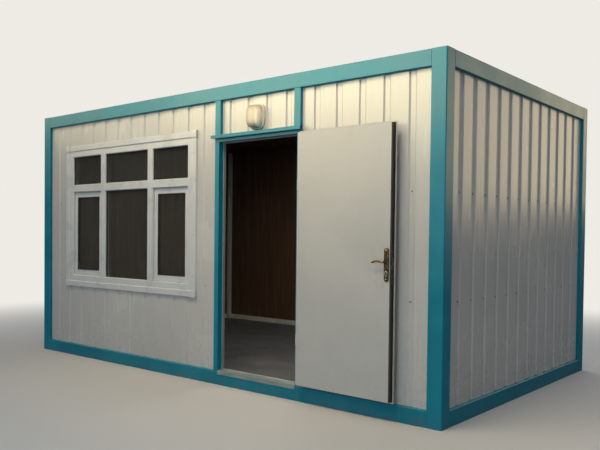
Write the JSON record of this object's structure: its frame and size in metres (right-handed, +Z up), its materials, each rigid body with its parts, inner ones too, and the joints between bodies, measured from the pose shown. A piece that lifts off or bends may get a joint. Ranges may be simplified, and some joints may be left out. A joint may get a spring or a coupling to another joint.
{
  "type": "portable site cabin",
  "caption": "Single-room portable site cabin: steel frame with grooved wall sheets, a wide window, and a hinged door that stands open beside it.",
  "frame": {"origin": "on the ground, at the middle of the cabin's plan without its open door", "axes": "+X along the front towards the door end, +Y from the front to the rear, +Z up"},
  "size_m": [5, 3.0779, 2.6],
  "materials": {
    "frame_paint": "satin",
    "primed_steel": "matte",
    "cladding_paint": "satin",
    "wood_lining": "satin",
    "floor_vinyl": "satin",
    "jamb_paint": "satin",
    "sill_metal": "satin",
    "window_plastic": "satin",
    "window_glass": "clear",
    "trim_plastic": "satin",
    "door_paint": "satin",
    "lock_steel": "brushed",
    "handle_bronze": "aged",
    "hinge_zinc": "brushed",
    "lamp_plastic": "matte",
    "lamp_glass": "frosted"
  },
  "bodies": {
    "cabin": {"bottom_beam_front": "frame_paint", "bottom_beam_left": "frame_paint", "bottom_beam_rear": "frame_paint", "bottom_beam_right": "frame_paint", "ceiling_panel": "wood_lining", "corner_post_front_left": "frame_paint", "corner_post_front_right": "frame_paint", "corner_post_rear_left": "frame_paint", "corner_post_rear_right": "frame_paint", "corner_trims": "trim_plastic", "door_frame_head": "jamb_paint", "door_head_beam": "frame_paint", "door_jambs": "jamb_paint", "door_posts": "frame_paint", "drip_cap": "frame_paint", "floor_deck": "floor_vinyl", "floor_joists": "primed_steel", "front_cladding": "cladding_paint", "front_wall_left": "wood_lining", "front_wall_over_door": "wood_lining", "front_wall_right": "wood_lining", "hinges_frame_side": "hinge_zinc", "lamp_base": "lamp_plastic", "lamp_lens": "lamp_glass", "left_cladding": "cladding_paint", "left_wall": "wood_lining", "rear_cladding": "cladding_paint", "rear_wall": "wood_lining", "right_cladding": "cladding_paint", "right_wall": "wood_lining", "roof_sheet": "cladding_paint", "skirting": "trim_plastic", "threshold": "sill_metal", "top_beam_front": "frame_paint", "top_beam_left": "frame_paint", "top_beam_rear": "frame_paint", "top_beam_right": "frame_paint", "window_casing": "window_plastic", "window_frame": "window_plastic", "window_glass": "window_glass", "window_sashes": "window_plastic"},
    "door": {"door_leaf": "door_paint", "door_lock": "lock_steel", "handle_plates": "handle_bronze", "hinges_leaf_side": "hinge_zinc"},
    "levers": {"door_levers": "handle_bronze"}
  },
  "joints": [
    {"name": "door_hinge", "type": "hinge", "parent": "cabin", "child": "door", "pos_m": [1.23, -1.488, 1.1], "axis": [0, 0, -1], "range_deg": [0, 179]},
    {"name": "lever_spindle", "type": "hinge", "parent": "door", "child": "levers", "pos_m": [2.10033, -1.5342, 1.138], "axis": [-0.0175, -0.9998, 0], "range_deg": [0, 40], "stiffness_Nm_per_rad": 1.5}
  ]
}
